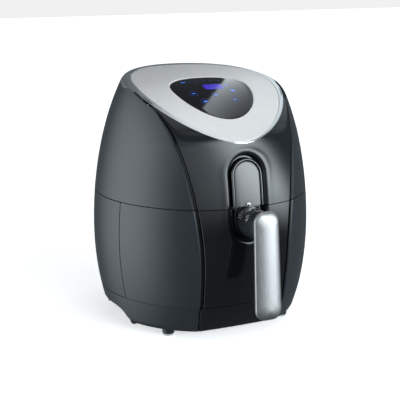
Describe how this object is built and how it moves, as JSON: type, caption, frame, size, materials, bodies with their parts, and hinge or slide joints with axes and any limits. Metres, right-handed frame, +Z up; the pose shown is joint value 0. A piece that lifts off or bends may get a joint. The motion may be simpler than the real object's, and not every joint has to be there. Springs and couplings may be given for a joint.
{
  "type": "air fryer",
  "caption": "Egg-shaped counter-top air fryer with a pull-out basket drawer, upright bar grip, sloping brushed top and dark touch panel.",
  "frame": {"origin": "centre of the bounding box in plan, on the plane the foot pads stand on", "axes": "+Z up, the front with the drawer and its grip faces -Y, +X to the viewer's right when facing the front"},
  "size_m": [0.2772, 0.3356, 0.3161],
  "materials": {
    "satin_shell": "satin",
    "gloss_black": "high gloss",
    "matte_black": "matt",
    "brushed_metal": "brushed",
    "satin_silver": "satin",
    "chrome": "polished",
    "glass_black": "polished",
    "clear": "clear",
    "nonstick": "non-stick coating",
    "sheet_steel": "mill",
    "board": "matt",
    "pad": "soft"
  },
  "bodies": {
    "housing": {"upper_shell_left": "satin_shell", "upper_shell_right": "satin_shell", "upper_fascia": "gloss_black", "lower_housing_left": "satin_shell", "lower_housing_right": "satin_shell", "rear_cover": "matte_black", "exhaust_grille": "matte_black", "cord_gland": "matte_black", "base_pan": "satin_shell", "base_front": "gloss_black", "foot_front_left": "matte_black", "pad_front_left": "pad", "foot_front_right": "matte_black", "pad_front_right": "pad", "foot_rear_left": "matte_black", "pad_rear_left": "pad", "foot_rear_right": "matte_black", "pad_rear_right": "pad", "trim_ring": "satin_silver", "top_plate": "brushed_metal", "touch_glass": "glass_black", "plaque_frame": "chrome", "plaque": "satin_silver", "chamber_liner": "sheet_steel", "chamber_deck": "sheet_steel", "heat_shield": "sheet_steel", "heating_element": "sheet_steel", "motor": "sheet_steel", "motor_bracket": "sheet_steel", "control_board": "board", "power_board": "board", "thermal_cutout": "matte_black", "drawer_switch": "matte_black", "base_screw_1": "sheet_steel", "base_screw_2": "sheet_steel", "base_screw_3": "sheet_steel", "base_screw_4": "sheet_steel"},
    "drawer": {"drawer_side_left": "satin_shell", "drawer_side_right": "satin_shell", "drawer_fascia": "gloss_black", "drawer_frame": "matte_black", "drawer_pan": "nonstick", "basket": "nonstick", "basket_bracket": "sheet_steel", "handle_arm": "matte_black", "arm_collar": "gloss_black", "grip_back": "matte_black", "grip_front": "satin_silver", "button_spring": "sheet_steel"},
    "rotor": {"motor_shaft": "sheet_steel", "hot_air_fan": "sheet_steel", "cooling_fan": "matte_black"},
    "release_button": {"release_button": "satin_silver"},
    "button_guard": {"button_guard": "clear"}
  },
  "joints": [
    {"name": "drawer_slide", "type": "slide", "parent": "housing", "child": "drawer", "axis": [0, -1, 0], "range_m": [0, 0.24]},
    {"name": "button_press", "type": "slide", "parent": "drawer", "child": "release_button", "axis": [0, 0, -1], "range_m": [0, 0.003], "stiffness_N_per_m": 600, "springref_m": -0.002, "deforming": ["button_spring"]},
    {"name": "guard_slide", "type": "slide", "parent": "drawer", "child": "button_guard", "axis": [0, -1, 0], "range_m": [0, 0.011]},
    {"name": "fan_spin", "type": "hinge", "parent": "housing", "child": "rotor", "pos_m": [0, 0.02582, 0.22], "axis": [0, 0, 1], "continuous": true}
  ]
}
